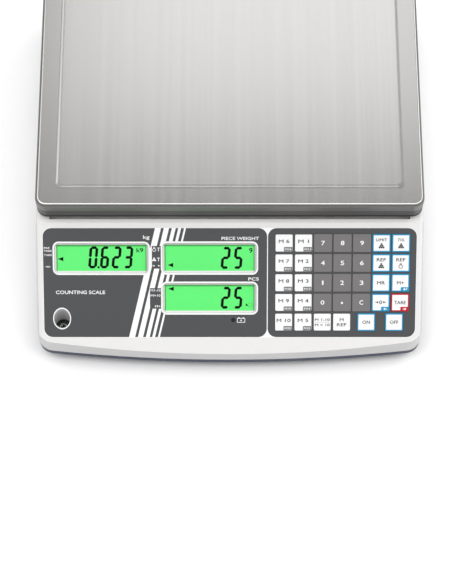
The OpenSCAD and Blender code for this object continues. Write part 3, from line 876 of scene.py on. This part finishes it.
def plate():
    """The pan: one pressed sheet with a rolled edge, a flat border and a raised middle."""
    low, high = (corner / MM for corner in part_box("weighing_plate"))
    middle = (0, (low.y + high.y) / 2)
    border_z = high.z - PLATE_EMBOSS
    crease_z = low.z + CREASE_SHARE * (border_z - PLATE_ROLL - low.z)
    underside = plate_profile(PLATE_SHEET, border_z)
    underside.reverse()
    # A black band of painted shadow on the skirt's lower edge, in the rubber's colour.
    shadow_band = [(PLATE_SHEET, low.z + HEM_RISE), (0.8 * PLATE_SHEET, low.z),
            (0.2 * PLATE_SHEET + CREASE_DEPTH, low.z), (CREASE_DEPTH, low.z + HEM_RISE)]
    lower_skirt = [(CREASE_DEPTH, low.z + SHADOW_BAND_H), (CREASE_DEPTH, crease_z)]
    outside = plate_profile(0, border_z)
    border_end = SKIRT_POINTS + BORDER_POINTS
    # Bands of the pan: the underside, a black band of painted shadow along the lower edge, the painted
    # shade of the lower and upper skirt and of the border, and the plate's own steel in the middle.
    stretches = ((underside, BORDER_PAINTED_SHADE), (shadow_band, RUBBER), (lower_skirt, SKIRT_LOWER_PAINTED_SHADE),
                 ([(0, crease_z + CREASE_DEPTH)] + outside[:SKIRT_POINTS], SKIRT_UPPER_PAINTED_SHADE),
                 (outside[SKIRT_POINTS:border_end], BORDER_PAINTED_SHADE), (outside[border_end:], PLATE_STEEL))
    rings = []
    bands = []
    for points, material in stretches:
        for inset, z in points:
            rings.append((rounded_rect(high.x - low.x - 2 * inset, high.y - low.y - 2 * inset,
                                       max(PLATE_R - inset, RAISED_R), middle, steps=10), z))
            bands.append(material)
    shape = Shape()
    shape.loft(rings, PLATE_STEEL, bands=bands)
    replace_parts(shape.piece("weighing_pan", "plate", "plate_steel", sharp=60), "weighing_plate")


# ---- Level, socket and hidden parts ----

LEVEL_UV = (-136.9, 30)
SHAFT_R = 6.6
RIM_W = 0.75
RIM_LOW = -0.38
# The vial's line and bubble: radii, and the bubble's place beside the middle.
LINE_R = 2.6
LINE_W = 0.3
BUBBLE_OFFSET = (-0.5, 0.4)


def level_rim():
    """The white rim round the mouth of the level's shaft."""
    outer = ellipse(SHAFT_R + RIM_W, (SHAFT_R + RIM_W) / cos(PANEL_TILT), LEVEL_UV)
    inner = ellipse(SHAFT_R, SHAFT_R / cos(PANEL_TILT), LEVEL_UV)
    rim = Shape()
    rim.loft([(outer, RIM_LOW), (outer, FILM_TOP), (inner, FILM_TOP), (inner, RIM_LOW)],
             WHITE_INK, ends=False, closed=True)
    rim.piece("level_rim", "base", "casing_white", SLOPE)


def level():
    """The bubble level at the foot of its shaft."""
    low, high = (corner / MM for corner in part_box("level_vial"))
    at = ((low.x + high.x) / 2, (low.y + high.y) / 2)
    top = high.z
    outer = (high.x - low.x) / 2
    vial = Shape()
    cup = [(outer - 0.3, low.z), (outer, low.z + 0.3), (outer, top - 0.4), (outer - 0.4, top),
           (5.6, top), (5.3, top - 0.6)]
    vial.loft([(ellipse(r, r, at), z) for r, z in cup], VIAL_BLACK)
    dome = [(5.2, top - 0.6), (5.1, top - 0.3), (4.2, top - 0.12), (2.6, top - 0.03), (1, top)]
    vial.loft([(ellipse(r, r, at), z) for r, z in dome], VIAL_BLACK)
    outer_line = ellipse(LINE_R, LINE_R, at)
    inner_line = ellipse(LINE_R - LINE_W, LINE_R - LINE_W, at)
    line_z = top - 0.02
    vial.loft([(outer_line, line_z - INK), (outer_line, line_z), (inner_line, line_z),
               (inner_line, line_z - INK)], WHITE_INK, ends=False, closed=True)
    bubble_at = (at[0] + BUBBLE_OFFSET[0], at[1] + BUBBLE_OFFSET[1])
    bubble = [(1.5, top - 0.1), (1.4, top - 0.02), (0.9, top)]
    vial.loft([(ellipse(r, r, bubble_at, 24), z) for r, z in bubble], VIAL_LIQUID)
    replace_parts(vial.piece("bubble_level", "base", "vial_clear"), "level_vial")


def socket():
    refined("dc_socket", "power_socket", 0.25, BLACK_PLASTIC)
    low, high = (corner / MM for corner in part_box("dc_socket"))
    mouth = Matrix.Translation(((low.x + high.x) / 2, high.y, (low.z + high.z) / 2))
    facing_rear = UPRIGHT @ mouth @ Matrix.Rotation(radians(90), 4, "X")
    pin = Shape()
    profile = [(1, 8.9), (1, 1.4), (0.85, 1.05), (0.5, 0.9)]
    pin.loft([(ellipse(r, r, steps=20), depth) for r, depth in profile], ZINC)
    pin.piece("power_socket_pin", "base", "socket_plastic", facing_rear)


# Parts that keep their CAD shape: (node, piece, edge radius, material, slot).
INNER_PARTS = (
    ("chassis_frame", "chassis", 0.5, ZINC, "chassis_metal"),
    ("load_cell", "load_cell_beam", 0.4, MILLED_METAL, "cell_metal"),
    ("load_cell_bolts", "load_cell_screws", 0.3, ZINC, "fastener_steel"),
    ("plate_carrier", "plate_spider", 1.0, CAST_METAL, "carrier_metal"),
    ("carrier_bolts", "carrier_screws", 0.3, ZINC, "fastener_steel"),
    ("carrier_pads", "plate_pads", 0.8, RUBBER, "pad_rubber"),
    ("housing_screws", "casing_screws", 0.25, ZINC, "fastener_steel"),
    ("battery", "battery_pack", 0.6, BLACK_PLASTIC, "battery_block"),
)


def hidden_parts():
    """What shows with the plate lifted off, from behind or from underneath."""
    for node, name, edge, material, slot in INNER_PARTS:
        refined(node, name, edge, material)
    for node in frame["nodes"]:
        if node.startswith("foot_sole"):
            refined(node, node.replace("sole", "pad"), 0.6, RUBBER)
        elif node.startswith("foot_screw"):
            refined(node, node.replace("screw", "wheel"), 0.25, BLACK_PLASTIC)
    for node in ("display_board", "main_board"):
        board = frame["nodes"][node].data
        board.materials.clear()
        board.materials.append(BOARD_GREEN)


# ---- Studio ----

# Here lengths are in metres.
CAMERA_AT = (-0.00302, -0.7850, 1.5721)
CAMERA_ELEVATION = 66.345
LENS = 124.9
SENSOR_H = 36
FLOOR_REACH = 3
SKY_STRENGTH = 0.3
# Lights that face down: (name, place, width, depth, watts).
LIGHTS = (
    ("left_light", (-1.6, 0.3, 1.8), 1.8, 3, 26),
    ("right_light", (1.9, 0.6, 1.6), 1.6, 3, 40),
    ("top_light", (0.1, -0.45, 1.9), 3, 1.3, 27),
    ("rear_light", (0.15, 1.85, 1.8), 1, 2, 8),
)


def softbox(name, at, width, depth, power):
    """A rectangular light that faces down."""
    lamp = bpy.data.lights.new(name, "AREA")
    lamp.shape = "RECTANGLE"
    lamp.size = width
    lamp.size_y = depth
    lamp.energy = power
    added(name, lamp).location = at


def floor():
    """The white floor that the scale stands on."""
    mesh = bpy.data.meshes.new("floor")
    corners = [(x * FLOOR_REACH, y * FLOOR_REACH, 0) for x, y in ((-1, -1), (1, -1), (1, 1), (-1, 1))]
    mesh.from_pydata(corners, [], [(0, 1, 2, 3)])
    mesh.materials.append(FLOOR_WHITE)
    added("floor", mesh)


def camera():
    lens = bpy.data.cameras.new("camera")
    lens.sensor_fit = "VERTICAL"
    lens.sensor_height = SENSOR_H
    lens.lens = LENS
    viewer = added("camera", lens)
    viewer.location = CAMERA_AT
    viewer.rotation_euler = (radians(90 - CAMERA_ELEVATION), 0, 0)
    bpy.context.scene.camera = viewer
    bpy.context.scene.view_settings.view_transform = "Standard"


def studio():
    floor()
    world = bpy.data.worlds.new("studio")
    world.use_nodes = True
    sky = world.node_tree.nodes["Background"]
    sky.inputs["Color"].default_value = (1, 1, 1, 1)
    sky.inputs["Strength"].default_value = SKY_STRENGTH
    bpy.context.scene.world = world
    for light in LIGHTS:
        softbox(*light)
    camera()


casing()
film()
displays()
keys()
plate()
level_rim()
level()
socket()
hidden_parts()
studio()
